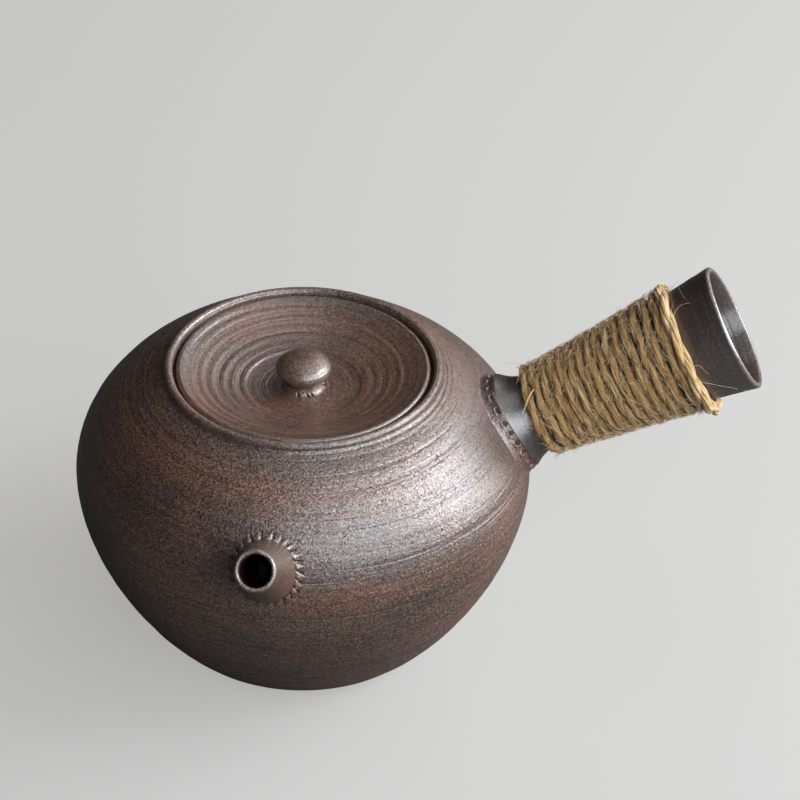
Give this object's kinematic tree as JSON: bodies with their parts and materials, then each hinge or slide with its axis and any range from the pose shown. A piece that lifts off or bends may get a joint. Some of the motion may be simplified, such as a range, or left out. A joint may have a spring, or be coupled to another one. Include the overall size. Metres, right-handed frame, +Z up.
{
  "type": "side-handle teapot",
  "caption": "Round stoneware teapot with a hollow twine-wrapped side handle, a short straight spout with an inner strainer, and a dished drop-in lid with a ball knob.",
  "frame": {"origin": "middle of the flat foot on the table, on the throwing axis", "axes": "+Z up along the throwing axis, +X towards the open end of the handle, spout about 99 degrees clockwise from the handle seen from above"},
  "size_m": [0.1553, 0.1155, 0.0947],
  "materials": {
    "body_clay": "unglazed dark red-brown stoneware with a fine sandy grain and a satin fired surface",
    "lid_clay": "unglazed dark brown stoneware with throwing rings and a satin fired surface",
    "handle_clay": "unglazed brown-black stoneware, smoother than the body",
    "coil_clay": "tool-marked clay with pale worn edges",
    "twine": "golden jute twine with loose fibres"
  },
  "bodies": {
    "pot": {"pot_body": "body_clay", "spout": "body_clay", "spout_luting_coil": "coil_clay", "strainer": "body_clay", "handle": "handle_clay", "handle_luting_coil": "coil_clay", "handle_twine": "twine"},
    "lid": {"lid": "lid_clay", "lid_knob": "lid_clay", "knob_luting_coil": "coil_clay"}
  },
  "joints": [
    {"name": "lid_lift", "type": "slide", "parent": "pot", "child": "lid", "axis": [0, 0, 1], "range_m": [0, 0.06]}
  ]
}
